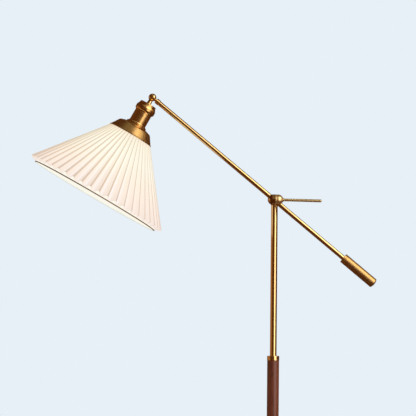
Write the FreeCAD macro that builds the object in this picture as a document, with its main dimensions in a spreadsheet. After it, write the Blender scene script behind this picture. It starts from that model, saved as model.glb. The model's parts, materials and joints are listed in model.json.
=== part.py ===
import FreeCAD, Part
import math
import os
import re

import Sketcher

# Bridge floor lamp. A brass pole on a walnut column carries a tilting arm. The arm has a
# pleated shade at one end and a counterweight at the other, and a lever knob clamps it.
# Row frame: origin at the middle of the base's underside, +Z up, shade towards -X,
# front towards -Y, arm pivot along Y. Millimetres and degrees.

DIMENSIONS = {
    # Base
    "base_radius": 135.0,
    "base_height": 24.0,
    "base_crown": 3.0,
    "cover_wall": 1.2,
    "cover_edge": 7.0,
    "cover_lip": 1.5,
    "pad_thickness": 3.0,
    "pad_margin": 1.5,
    "weight_gap": 0.4,
    "nut_recess_radius": 19.0,
    "nut_recess_depth": 9.0,
    "base_washer_radius": 15.0,
    "base_washer_thickness": 1.5,
    "base_nut_flats": 17.0,
    "base_nut_height": 6.0,
    "gland_height": 8.0,
    "gland_bore": 3.2,
    "gland_neck": 4.6,
    "gland_flange": 5.8,
    "gland_nose": 3.0,
    "gland_length": 9.0,
    # Foot collar and walnut column
    "collar_radius": 24.0,
    "collar_foot": 3.0,
    "collar_height": 24.0,
    "collar_wall": 2.2,
    "collar_cove": 15.0,
    "collar_seat": 6.0,
    "column_radius": 12.5,
    "column_top": 944.3,
    "column_bore": 5.4,
    "coupling_height": 480.0,
    "coupling_band": 6.0,
    "coupling_spigot_radius": 8.0,
    "coupling_spigot_length": 10.0,
    "band_radius": 12.8,
    "column_cap_height": 9.7,
    "column_cap_edge": 1.2,
    "tie_radius": 5.0,
    "tie_bore": 3.4,
    "tie_engagement": 24.0,
    # Pole and tilting hub
    "pole_radius": 7.0,
    "pole_wall": 1.0,
    "pole_insert": 10.0,
    "hub_height": 1280.0,
    "hub_radius": 10.5,
    "hub_chamfer": 0.6,
    "pole_head_half": 9.0,
    "pole_head_spigot": 30.0,
    "arm_hub_half": 9.2,
    "pivot_radius": 3.0,
    "pivot_head_radius": 6.5,
    "pivot_head_height": 4.0,
    "pivot_head_edge": 1.5,
    "hub_washer_radius": 8.5,
    "hub_washer_thickness": 1.0,
    # Clamp knob and lever
    "knob_radius": 11.0,
    "knob_left": 4.4,
    "knob_right": 6.2,
    "knob_parting": 4.2,
    "knob_boss_radius": 8.5,
    "knob_bore_depth": 13.0,
    "lever_length": 80.0,
    "lever_radius": 2.6,
    "lever_end_radius": 2.9,
    "lever_nose": 4.0,
    "lever_nose_length": 1.4,
    "lever_droop": 0.8,
    # Arm and counterweight
    "arm_elevation": 39.6,
    "arm_reach": 336.6,
    "arm_radius": 5.0,
    "arm_wall": 1.0,
    "arm_seat": 5.2,
    "weight_start": 187.7,
    "weight_length": 83.0,
    "weight_radius": 10.35,
    "weight_edge": 0.8,
    "weight_dome": 2.2,
    "weight_socket": 30.0,
    # Head knuckle
    "ball_radius": 8.2,
    "lap_margin": 0.4,
    "knuckle_washer_radius": 6.5,
    "knuckle_washer_thickness": 0.6,
    "ferrule_neck": 3.4,
    "ferrule_start": 10.5,
    "ferrule_radius": 5.8,
    "ferrule_length": 8.0,
    "ferrule_edge": 0.5,
    "ferrule_spigot": 11.0,
    "screw_radius": 2.0,
    "screw_head_radius": 3.2,
    "screw_head_height": 1.9,
    "screw_grip": 5.7,
    "screw_slot": 0.8,
    "screw_nut_flats": 6.4,
    "screw_nut_height": 2.6,
    "screw_nut_seat": 3.6,
    "neck_radius": 4.4,
    "neck_flare": 5.25,
    "nipple_radius": 5.0,
    "nipple_length": 8.0,
    "neck_nut_flats": 15.0,
    "neck_nut_height": 4.0,
    # Lamp holder, measured down the head's axis from the middle of the knuckle
    "head_tilt": 29.6,
    "cap_top": 16.3,
    "cap_top_radius": 17.8,
    "cap_wall": 1.5,
    "cap_step": 2.9,
    "cap_step_flare": 0.9,
    "cap_groove": 0.8,
    "cap_bead_start": 26.6,
    "cap_bead_end": 30.0,
    "cap_bead_radius": 21.7,
    "cap_skirt_radius": 19.7,
    "cap_end": 36.0,
    "holder_thread_radius": 17.9,
    "holder_thread_length": 6.0,
    "holder_radius": 18.6,
    "holder_wall": 1.6,
    "holder_end": 68.4,
    "flange_radius": 22.5,
    "flange_height": 2.8,
    "flange_cove": 4.0,
    "core_top": 40.0,
    "core_floor": 59.0,
    "core_thread_radius": 19.6,
    "core_end": 84.0,
    "screw_shell_radius": 14.1,
    "screw_shell_wall": 0.6,
    "contact_radius": 4.0,
    "contact_height": 1.8,
    # Bulb
    "bulb_cap_radius": 13.2,
    "bulb_cap_length": 25.0,
    "bulb_cap_nib": 2.0,
    "bulb_radius": 30.0,
    "bulb_neck": 12.8,
    "bulb_blend": 34.5,
    "bulb_centre": 140.0,
    "bulb_wall": 0.8,
    # Shade fitter, its ring and frame
    "fitter_seat": 24.5,
    "fitter_bore": 19.9,
    "fitter_wall": 1.0,
    "fitter_shoulder": 36.2,
    "fitter_shoulder_drop": 4.0,
    "fitter_lip": 49.3,
    "fitter_end": 92.6,
    "ring_radius": 22.4,
    "ring_height": 4.8,
    "ring_flutes": 12,
    "ring_flute_radius": 1.4,
    "spider_radius": 24.0,
    "spider_thickness": 1.5,
    "spider_arm_width": 6.0,
    "spider_arms": 3,
    "top_wire": 1.5,
    "top_wire_drop": 86.0,
    "rim_wire": 1.2,
    # Pleated shade and liner
    "pleat_count": 48,
    "pleat_lean": 0.70,
    "pleat_apex": 31.2,
    "pleat_ridge_slope": 0.7796,
    "pleat_root_slope": 0.700,
    "pleat_top": 84.0,
    "pleat_ridge_end": 230.0,
    "pleat_root_end": 237.9,
    "cloth": 0.9,
    "liner_wall": 0.8,
    "liner_end": 239.0,
    # Clearances
    "running_gap": 0.05,
    "seat_gap": 0.1,
    "soft_gap": 0.3,
}

# Places and sizes that follow from the driving dimensions above.
DERIVED = {
    "cover_bore": "tie_radius + seat_gap",
    "cover_flat": "collar_radius + collar_foot",
    "cover_side": "base_height - base_crown - cover_edge",
    "cover_bend": "base_radius - cover_edge",
    "cover_inside": "base_radius - cover_wall",
    "pad_radius": "cover_inside - pad_margin",
    "weight_disc": "cover_inside - weight_gap",
    "weight_top": "base_height - cover_wall - weight_gap",
    "recess_top": "pad_thickness + nut_recess_depth",
    "washer_bottom": "recess_top - base_washer_thickness",
    "nut_bottom": "washer_bottom - base_nut_height",
    "channel_half": "gland_neck + soft_gap",
    "channel_top": "gland_height + channel_half",
    "column_foot": "base_height + collar_seat",
    "coupling_low": "coupling_height - coupling_band / 2",
    "coupling_high": "coupling_height + coupling_band / 2",
    "column_cap_top": "column_top + column_cap_height",
    "pole_bottom": "column_top - pole_insert",
    "pole_bore": "pole_radius - pole_wall",
    "tie_top": "pole_bottom + tie_engagement",
    "tie_bottom": "nut_bottom - seat_gap",
    "pivot_bore": "pivot_radius + running_gap",
    "arm_offset": "pole_head_half + hub_washer_thickness + seat_gap + arm_hub_half",
    "arm_hub_front": "arm_offset + arm_hub_half",
    "knob_face": "arm_hub_front + hub_washer_thickness + seat_gap",
    "knob_offset": "knob_face + knob_radius",
    "lever_start": "knob_right + sqrt(knob_radius^2 - lever_nose^2) + lever_nose_length",
    "arm_bore": "arm_radius - arm_wall",
    "ferrule_end": "ferrule_start + ferrule_length",
    "upper_arm_end": "arm_reach - ferrule_end",
    "weight_end": "weight_start + weight_length",
    "weight_face": "weight_radius - weight_edge",
    "weight_crown": "(weight_face^2 + weight_dome^2) / (2 * weight_dome)",
    "lap_radius": "ball_radius + lap_margin",
    "lap_arm": "knuckle_washer_thickness / 2",
    "lap_head": "lap_arm + seat_gap",
    "screw_bore": "screw_radius + running_gap",
    "screw_seat": "lap_arm + screw_grip",
    "ball_x": "-arm_reach * cos(arm_elevation)",
    "ball_z": "hub_height + arm_reach * sin(arm_elevation)",
    "cap_inside": "cap_top_radius - cap_wall",
    "cap_ceiling": "cap_top + cap_wall",
    "holder_top": "cap_end - holder_thread_length",
    "holder_bore": "holder_radius - holder_wall",
    "flange_top": "holder_end - flange_height",
    "fitter_top": "holder_end + seat_gap",
    "fitter_floor": "fitter_top + fitter_wall",
    "fitter_corner": "fitter_top + fitter_shoulder_drop",
    "spider_top": "fitter_floor + seat_gap",
    "spider_bottom": "spider_top + spider_thickness",
    "spider_bore": "core_thread_radius + seat_gap",
    "ring_top": "spider_bottom + seat_gap",
    "contact_top": "core_floor + contact_height",
    "bulb_tip": "contact_top + seat_gap",
    "bulb_cap_end": "bulb_tip + bulb_cap_length",
    "bulb_waist": "bulb_centre - sqrt((bulb_radius + bulb_blend)^2 - (bulb_neck + bulb_blend)^2)",
    "bulb_join": "bulb_radius / (bulb_radius + bulb_blend)",
    "liner_offset": "cloth + soft_gap",
    "liner_inset": "liner_offset + liner_wall",
    "top_wire_inset": "liner_inset + (top_wire + soft_gap) * sqrt(1 + pleat_root_slope^2)",
    "top_wire_ring": "pleat_root_slope * (top_wire_drop - pleat_apex) - top_wire_inset",
    "rim_wire_ring": "pleat_root_slope * (liner_end - pleat_apex) - liner_offset - liner_wall / 2",
    "rim_wire_drop": "liner_end + rim_wire + seat_gap",
}

FULL_TURN = 360
HALF_TURN = 180
HEX_SIDES = 6

# Where each group of pieces stands, as placement expressions.
STAND = "placement(vector(0; 0; 0); rotation(vector(0; 1; 0); 0))"
HUB = "placement(vector(0; 0; hub_height); rotation(vector(0; 1; 0); 0))"
GLAND = "placement(vector(0; 0; gland_height); rotation(vector(0; 1; 0); 0))"
LEVER = "placement(vector(0; -knob_offset; hub_height); rotation(vector(0; 1; 0); lever_droop))"
ARM = "placement(vector(0; -arm_offset; hub_height); rotation(vector(0; 1; 0); arm_elevation - 90))"
ARM_BALL = "placement(vector(ball_x; -arm_offset; ball_z); rotation(vector(0; 1; 0); arm_elevation - 90))"
HEAD = "placement(vector(ball_x; -arm_offset; ball_z); rotation(vector(0; 1; 0); 180 + head_tilt))"

os.makedirs("parts", exist_ok=True)
document = FreeCAD.newDocument("BridgeFloorLamp")
sheet = document.addObject("Spreadsheet::Sheet", "Dims")
for row, (alias, size) in enumerate(DIMENSIONS.items(), start=1):
    sheet.set(f"A{row}", str(size))
    sheet.setAlias(f"A{row}", alias)
document.recompute()

WORD = re.compile(r"[a-z][a-z_]*")


def expand(text):
    """Turns an expression in plain names into one that reads the sheet."""

    def lookup(match):
        word = match.group(0)
        if word in DIMENSIONS:
            return "Dims." + word
        if word in DERIVED:
            return "(" + expand(DERIVED[word]) + ")"
        return word

    return WORD.sub(lookup, text)


def value(text):
    """The present number of an expression in plain names."""
    return float(sheet.evalExpression(expand(text)))


def new_body(name, place=STAND):
    """An empty body whose file and label carry the name, standing at the placement."""
    body = document.addObject("PartDesign::Body", name)
    body.Label = name
    body.setExpression("Placement", expand(place))
    return body


def new_sketch(body, role, offset="0"):
    """A sketch on one of the body's own origin planes, moved off it along its normal."""
    sketch = body.newObject("Sketcher::SketchObject", body.Name + "_sketch")
    origin_plane = next(f for f in body.Origin.OriginFeatures if f.Role == role)
    sketch.AttachmentSupport = (origin_plane, [""])
    sketch.MapMode = "FlatFace"
    sketch.setExpression("AttachmentOffset.Base.z", expand(offset))
    return sketch


def bind(sketch, constraint, expression):
    """Adds a constraint to the sketch and ties it to the sheet."""
    index = sketch.addConstraint(constraint)
    sketch.setExpression(f"Constraints[{index}]", expand(expression))


def arc_between(start, end, radius):
    """The arc from start to end: anticlockwise where radius is positive, else clockwise."""
    chord = end - start
    middle = (start + end) / 2
    left = FreeCAD.Vector(-chord.y, chord.x, 0).normalize()
    reach = math.sqrt(max(radius**2 - (chord.Length / 2) ** 2, 0))
    centre = middle + left * math.copysign(reach, radius)
    first, last = (start, end) if radius > 0 else (end, start)
    circle = Part.Circle(centre, FreeCAD.Vector(0, 0, 1), abs(radius))
    angles = [math.atan2(p.y - centre.y, p.x - centre.x) for p in (first, last)]
    return Part.ArcOfCircle(circle, angles[0], angles[1])


def draw_outline(sketch, outline):
    """A closed outline of corners (x, y), or (x, y, radius) where an arc leaves the corner."""
    if len(outline) == 1:
        draw_circle(sketch, *outline[0])
        return
    corners = [FreeCAD.Vector(value(c[0]), value(c[1]), 0) for c in outline]
    ends = []
    for index, corner in enumerate(outline):
        start = corners[index]
        end = corners[(index + 1) % len(corners)]
        if len(corner) > 2:
            radius = value(corner[2])
            edge = sketch.addGeometry(arc_between(start, end, radius))
            bind(sketch, Sketcher.Constraint("Radius", edge, abs(radius)), f"abs({corner[2]})")
            ends.append((edge, 1, 2) if radius > 0 else (edge, 2, 1))
        else:
            edge = sketch.addGeometry(Part.LineSegment(start, end))
            ends.append((edge, 1, 2))
    for index, corner in enumerate(outline):
        edge, first, last = ends[index]
        next_edge, next_first, next_last = ends[(index + 1) % len(ends)]
        sketch.addConstraint(Sketcher.Constraint("Coincident", edge, last, next_edge, next_first))
        spot = corners[index]
        bind(sketch, Sketcher.Constraint("DistanceX", -1, 1, edge, first, spot.x), corner[0])
        bind(sketch, Sketcher.Constraint("DistanceY", -1, 1, edge, first, spot.y), corner[1])


def draw_circle(sketch, x, y, radius):
    """A circle at (x, y)."""
    centre = FreeCAD.Vector(value(x), value(y), 0)
    circle = Part.Circle(centre, FreeCAD.Vector(0, 0, 1), value(radius))
    edge = sketch.addGeometry(circle)
    bind(sketch, Sketcher.Constraint("DistanceX", -1, 1, edge, 3, centre.x), x)
    bind(sketch, Sketcher.Constraint("DistanceY", -1, 1, edge, 3, centre.y), y)
    bind(sketch, Sketcher.Constraint("Radius", edge, value(radius)), radius)


TURNING = {"X": ("XZ_Plane", "H_Axis"), "Y": ("XY_Plane", "V_Axis"), "Z": ("XZ_Plane", "V_Axis")}


def turn(body, outline, axis="Z", kind="PartDesign::Revolution"):
    """Turns an outline about one of the body's axes, adding material or grooving it away."""
    role, sketch_axis = TURNING[axis]
    sketch = new_sketch(body, role)
    draw_outline(sketch, outline)
    feature = body.newObject(kind, body.Name + "_turn")
    feature.Profile = sketch
    feature.ReferenceAxis = (sketch, [sketch_axis])
    feature.Angle = FULL_TURN
    return feature


def turned(name, outline, axis="Z", place=STAND):
    """A body turned from one outline: (radius, height), or (length, radius) about X."""
    body = new_body(name, place)
    turn(body, outline, axis)
    return body


def bore(body, outline, axis="Z"):
    """Grooves an outline out of the body, as a drill or boring bar would."""
    document.recompute()
    before = body.Shape.Volume
    turn(body, outline, axis, "PartDesign::Groove")
    document.recompute()
    if body.Shape.Volume >= before:
        raise ValueError(f"the bore in {body.Label} removes nothing")


def pocket(body, sketch, depth, towards_normal):
    """Cuts a sketch into the body to the depth, along the sketch's normal or against it."""
    document.recompute()
    before = body.Shape.Volume
    feature = body.newObject("PartDesign::Pocket", body.Name + "_pocket")
    feature.Profile = sketch
    feature.setExpression("Length", expand(depth))
    feature.Reversed = towards_normal
    document.recompute()
    if body.Shape.Volume >= before:
        raise ValueError(f"the pocket in {body.Label} removes nothing")
    return feature


def around(body, features, count):
    """Repeats features evenly about the body's Z axis."""
    document.recompute()
    pattern = body.newObject("PartDesign::PolarPattern", body.Name + "_pattern")
    pattern.Originals = features
    pattern.Axis = (next(f for f in body.Origin.OriginFeatures if f.Role == "Z_Axis"), [""])
    pattern.Angle = FULL_TURN
    pattern.setExpression("Occurrences", expand(count))
    body.Tip = pattern
    return pattern


def rectangle(left, bottom, right, top):
    """The four corners of an upright rectangle."""
    return [(left, bottom), (right, bottom), (right, top), (left, top)]


def hexagon(flats):
    """The corners of a hexagon of that width across its flats."""
    corner = f"({flats}) / sqrt(3)"
    steps = [FULL_TURN // HEX_SIDES * side for side in range(HEX_SIDES)]
    return [(f"{corner} * cos({angle})", f"{corner} * sin({angle})") for angle in steps]


def hex_nut(name, flats, inner, start, height, role="XY_Plane", place=STAND):
    """A hexagon nut that grows from start along its plane's normal."""
    body = new_body(name, place)
    sketch = new_sketch(body, role, start)
    draw_outline(sketch, hexagon(flats))
    draw_circle(sketch, "0", "0", inner)
    pad = body.newObject("PartDesign::Pad", name + "_pad")
    pad.Profile = sketch
    pad.setExpression("Length", expand(height))
    return body


def washer(name, inner, outer, start, end, place=STAND):
    """A flat washer about the Y axis."""
    return turned(name, rectangle(inner, start, outer, end), "Y", place)


# ---- Base -----------------------------------------------------------------------------


def make_base():
    turned("base_pad", rectangle("0", "0", "pad_radius", "pad_thickness"))
    weight = turned(
        "base_weight",
        [
            ("cover_bore", "recess_top"),
            ("nut_recess_radius", "recess_top"),
            ("nut_recess_radius", "pad_thickness"),
            ("weight_disc", "pad_thickness"),
            ("weight_disc", "cover_side", "cover_edge - cover_wall - weight_gap"),
            ("cover_bend", "weight_top - base_crown"),
            ("cover_flat", "weight_top"),
            ("cover_bore", "weight_top"),
        ],
    )
    channel = new_sketch(weight, "XY_Plane")
    draw_outline(channel, rectangle("-channel_half", "0", "channel_half", "base_radius"))
    pocket(weight, channel, "channel_top", True)

    cover = turned(
        "base_cover",
        [
            ("cover_bore", "base_height"),
            ("cover_flat", "base_height"),
            ("cover_bend", "base_height - base_crown", "-cover_edge"),
            ("base_radius", "cover_side"),
            ("base_radius", "cover_lip"),
            ("cover_inside", "cover_lip"),
            ("cover_inside", "cover_side", "cover_edge - cover_wall"),
            ("cover_bend", "base_height - base_crown - cover_wall"),
            ("cover_flat", "base_height - cover_wall"),
            ("cover_bore", "base_height - cover_wall"),
        ],
    )
    inlet = new_sketch(cover, "XZ_Plane", "-cover_flat")
    draw_circle(inlet, "0", "gland_height", "gland_neck + running_gap")
    pocket(cover, inlet, "base_radius", False)

    turned(
        "cord_gland",
        [
            ("gland_bore", "base_radius - gland_length"),
            ("gland_neck", "base_radius - gland_length"),
            ("gland_neck", "base_radius + seat_gap"),
            ("gland_flange", "base_radius + seat_gap"),
            ("gland_flange", "base_radius + gland_nose / 2"),
            ("gland_neck", "base_radius + gland_nose"),
            ("gland_bore", "base_radius + gland_nose"),
        ],
        "Y",
        GLAND,
    )
    turned(
        "base_washer",
        rectangle("cover_bore", "washer_bottom", "base_washer_radius", "recess_top"),
    )
    hex_nut("base_nut", "base_nut_flats", "cover_bore", "nut_bottom", "base_nut_height")


# ---- Column and pole --------------------------------------------------------------------


def make_column():
    turned(
        "foot_collar",
        [
            ("cover_bore", "base_height"),
            ("collar_radius", "base_height"),
            ("collar_radius", "base_height + collar_foot", "-collar_cove"),
            ("column_radius + collar_wall", "base_height + 2 * collar_height / 3"),
            ("column_radius + collar_wall", "base_height + collar_height"),
            ("column_radius + seat_gap", "base_height + collar_height"),
            ("column_radius + seat_gap", "column_foot"),
            ("cover_bore", "column_foot"),
        ],
    )
    spigot = "coupling_spigot_radius + seat_gap"
    turned(
        "lower_column",
        [
            ("column_bore", "column_foot"),
            ("column_radius", "column_foot"),
            ("column_radius", "coupling_low"),
            (spigot, "coupling_low"),
            (spigot, "coupling_low - coupling_spigot_length - seat_gap"),
            ("column_bore", "coupling_low - coupling_spigot_length - seat_gap"),
        ],
    )
    turned(
        "column_coupling",
        [
            ("cover_bore", "coupling_low - coupling_spigot_length"),
            ("coupling_spigot_radius", "coupling_low - coupling_spigot_length"),
            ("coupling_spigot_radius", "coupling_low"),
            ("band_radius", "coupling_low"),
            ("band_radius", "coupling_high"),
            ("coupling_spigot_radius", "coupling_high"),
            ("coupling_spigot_radius", "coupling_high + coupling_spigot_length"),
            ("cover_bore", "coupling_high + coupling_spigot_length"),
        ],
    )
    turned(
        "upper_column",
        [
            (spigot, "coupling_high"),
            ("column_radius", "coupling_high"),
            ("column_radius", "column_top"),
            ("pole_radius + soft_gap", "column_top"),
            ("pole_radius + soft_gap", "pole_bottom - seat_gap"),
            ("column_bore", "pole_bottom - seat_gap"),
            ("column_bore", "coupling_high + coupling_spigot_length + seat_gap"),
            (spigot, "coupling_high + coupling_spigot_length + seat_gap"),
        ],
    )
    turned(
        "column_cap",
        [
            ("pole_radius + seat_gap", "column_top"),
            ("band_radius", "column_top"),
            ("band_radius", "column_cap_top - column_cap_edge", "column_cap_edge"),
            ("band_radius - column_cap_edge", "column_cap_top"),
            ("pole_radius + seat_gap", "column_cap_top"),
        ],
    )
    turned("tie_rod", rectangle("tie_bore", "tie_bottom", "tie_radius", "tie_top"))


def make_pole():
    pole_top = "hub_height - hub_radius"
    turned("pole_tube", rectangle("pole_bore", "pole_bottom", "pole_radius", pole_top))
    turned(
        "pole_bush",
        rectangle("tie_radius + running_gap", "pole_bottom", "pole_bore - running_gap", "tie_top"),
    )
    head = turned(
        "pole_head",
        [
            ("pivot_bore", "-pole_head_half"),
            ("hub_radius - hub_chamfer", "-pole_head_half"),
            ("hub_radius", "-pole_head_half + hub_chamfer"),
            ("hub_radius", "pole_head_half - hub_chamfer"),
            ("hub_radius - hub_chamfer", "pole_head_half"),
            ("pivot_bore", "pole_head_half"),
        ],
        "Y",
        HUB,
    )
    turn(
        head,
        [
            ("0", "-hub_radius - pole_head_spigot"),
            ("pole_bore - running_gap", "-hub_radius - pole_head_spigot"),
            ("pole_bore - running_gap", "-hub_radius"),
            ("pole_radius", "-hub_radius"),
            ("pole_radius", "-hub_radius / 2"),
            ("0", "-hub_radius / 2"),
        ],
    )
    bolt = turned(
        "pivot_bolt",
        [
            ("0", "-knob_offset"),
            ("pivot_radius", "-knob_offset"),
            ("pivot_radius", "pole_head_half"),
            ("pivot_head_radius", "pole_head_half"),
            ("pivot_head_radius", "pole_head_half + pivot_head_edge", "pivot_head_radius"),
            ("pivot_head_radius / 2", "pole_head_half + pivot_head_height"),
            ("0", "pole_head_half + pivot_head_height"),
        ],
        "Y",
        HUB,
    )
    key = new_sketch(bolt, "XZ_Plane", "-pole_head_half - pivot_head_height")
    draw_outline(key, hexagon("pivot_radius * 4 / 3"))
    pocket(bolt, key, "pivot_head_height / 2", True)
    washer(
        "rear_washer",
        "pivot_bore",
        "hub_washer_radius",
        "-pole_head_half - hub_washer_thickness",
        "-pole_head_half",
        HUB,
    )


# ---- Lever knob ---------------------------------------------------------------------------


def make_lever():
    knob = turned(
        "clamp_knob",
        [
            ("-knob_left - knob_radius", "0", "-knob_radius"),
            ("-knob_left", "knob_radius"),
            ("knob_parting - hub_chamfer", "knob_radius"),
            ("knob_parting", "knob_radius - hub_chamfer"),
            ("knob_parting", "0"),
        ],
        "X",
        LEVER,
    )
    turn(knob, rectangle("0", "lever_nose", "knob_boss_radius", "knob_radius"), "Y")
    bore(
        knob,
        rectangle("0", "knob_radius - knob_bore_depth", "pivot_bore", "knob_radius + seat_gap"),
        "Y",
    )
    socket = turned(
        "lever_socket",
        [
            ("knob_parting", "lever_radius + running_gap"),
            ("knob_parting", "knob_radius - hub_chamfer"),
            ("knob_parting + hub_chamfer", "knob_radius"),
            ("knob_right", "knob_radius", "-knob_radius"),
            ("lever_start - lever_nose_length", "lever_nose"),
            ("lever_start", "lever_nose"),
            ("lever_start", "lever_radius + running_gap"),
        ],
        "X",
        LEVER,
    )
    bore(
        socket,
        rectangle("0", "lever_nose - seat_gap", "knob_boss_radius + seat_gap", "2 * knob_radius"),
        "Y",
    )
    lever_tip = "lever_start + lever_length"
    turned(
        "lever_rod",
        [
            ("knob_parting + seat_gap", "0"),
            ("knob_parting + seat_gap", "lever_radius"),
            ("lever_start", "lever_radius"),
            (f"{lever_tip} - lever_end_radius", "lever_end_radius", "-lever_end_radius"),
            (lever_tip, "0"),
        ],
        "X",
        LEVER,
    )


# ---- Arm -----------------------------------------------------------------------------------


def make_arm():
    hub = turned(
        "arm_hub",
        [
            ("pivot_bore", "-arm_hub_half"),
            ("hub_radius - hub_chamfer", "-arm_hub_half"),
            ("hub_radius", "-arm_hub_half + hub_chamfer"),
            ("hub_radius", "arm_hub_half - hub_chamfer"),
            ("hub_radius - hub_chamfer", "arm_hub_half"),
            ("pivot_bore", "arm_hub_half"),
        ],
        "Y",
        ARM,
    )
    socket = "arm_radius + running_gap"
    bore(hub, rectangle("0", "arm_seat - seat_gap", socket, "2 * hub_radius"))
    bore(hub, rectangle("0", "-2 * hub_radius", socket, "seat_gap - arm_seat"))
    washer(
        "front_washer",
        "pivot_bore",
        "hub_washer_radius",
        "-arm_hub_half - hub_washer_thickness",
        "-arm_hub_half",
        ARM,
    )
    turned("upper_arm", rectangle("arm_bore", "arm_seat", "arm_radius", "upper_arm_end"), "Z", ARM)
    turned(
        "lower_arm",
        rectangle("arm_bore", "-weight_start - weight_socket", "arm_radius", "-arm_seat"),
        "Z",
        ARM,
    )
    turned(
        "counterweight",
        [
            (socket, "-weight_start"),
            (socket, "-weight_start - weight_socket - seat_gap"),
            ("0", "-weight_start - weight_socket - seat_gap"),
            ("0", "-weight_end - weight_dome", "weight_crown"),
            ("weight_face", "-weight_end", "weight_edge"),
            ("weight_radius", "-weight_end + weight_edge"),
            ("weight_radius", "-weight_start - weight_edge / 2"),
            ("weight_radius - weight_edge / 2", "-weight_start"),
        ],
        "Z",
        ARM,
    )


# ---- Head knuckle -----------------------------------------------------------------------------


def half_lap(body, face, front):
    """Mills the ball's other half away, so that two half balls turn against each other."""
    lap = new_sketch(body, "XZ_Plane", face)
    draw_circle(lap, "0", "0", "lap_radius")
    pocket(body, lap, "2 * lap_radius", front)


def make_knuckle():
    neck_foot = "sqrt(ball_radius^2 - ferrule_neck^2)"
    front = turned(
        "arm_knuckle",
        [
            ("0", "ball_radius", "-ball_radius"),
            ("ferrule_neck", f"-{neck_foot}"),
            ("ferrule_neck", "-ferrule_start"),
            ("ferrule_radius - ferrule_edge", "-ferrule_start"),
            ("ferrule_radius", "-ferrule_start - ferrule_edge"),
            ("ferrule_radius", "-ferrule_end"),
            ("arm_bore - running_gap", "-ferrule_end"),
            ("arm_bore - running_gap", "-ferrule_end - ferrule_spigot"),
            ("0", "-ferrule_end - ferrule_spigot"),
        ],
        "Z",
        ARM_BALL,
    )
    half_lap(front, "lap_arm", False)
    bore(front, rectangle("0", "-2 * ball_radius", "screw_bore", "0"), "Y")
    bore(
        front,
        rectangle("0", "-2 * ball_radius", "screw_head_radius + seat_gap", "-screw_seat"),
        "Y",
    )
    screw = turned(
        "knuckle_screw",
        [
            ("0", "-screw_seat - screw_head_height"),
            ("screw_head_radius", "-screw_seat - screw_head_height"),
            ("screw_head_radius", "-screw_seat"),
            ("screw_radius", "-screw_seat"),
            ("screw_radius", "screw_nut_seat + screw_nut_height"),
            ("0", "screw_nut_seat + screw_nut_height"),
        ],
        "Y",
        ARM_BALL,
    )
    slot = new_sketch(screw, "XZ_Plane", "screw_seat + screw_head_height")
    draw_outline(
        slot,
        rectangle("-screw_slot / 2", "-2 * screw_head_radius", "screw_slot / 2", "2 * screw_head_radius"),
    )
    pocket(screw, slot, "screw_head_height / 2", False)
    hex_nut(
        "knuckle_nut",
        "screw_nut_flats",
        "screw_bore",
        "-screw_nut_seat - screw_nut_height",
        "screw_nut_height - seat_gap",
        "XZ_Plane",
        ARM_BALL,
    )
    washer("knuckle_washer", "screw_bore", "knuckle_washer_radius", "-lap_arm", "lap_arm", ARM_BALL)

    neck_start = "sqrt(ball_radius^2 - neck_radius^2)"
    rear = turned(
        "head_knuckle",
        [
            ("0", "-ball_radius", "ball_radius"),
            ("neck_radius", neck_start),
            ("neck_radius", "lap_radius + seat_gap"),
            ("neck_flare", "cap_top"),
            ("nipple_radius", "cap_top"),
            ("nipple_radius", "cap_top + nipple_length"),
            ("0", "cap_top + nipple_length"),
        ],
        "Z",
        HEAD,
    )
    half_lap(rear, "-lap_head", True)
    bore(rear, rectangle("0", "0", "screw_bore", "2 * ball_radius"), "Y")
    nut_room = "screw_nut_flats / sqrt(3) + soft_gap"
    bore(rear, rectangle("0", "screw_nut_seat", nut_room, "2 * ball_radius"), "Y")


# ---- Lamp holder and bulb ------------------------------------------------------------------


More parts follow.
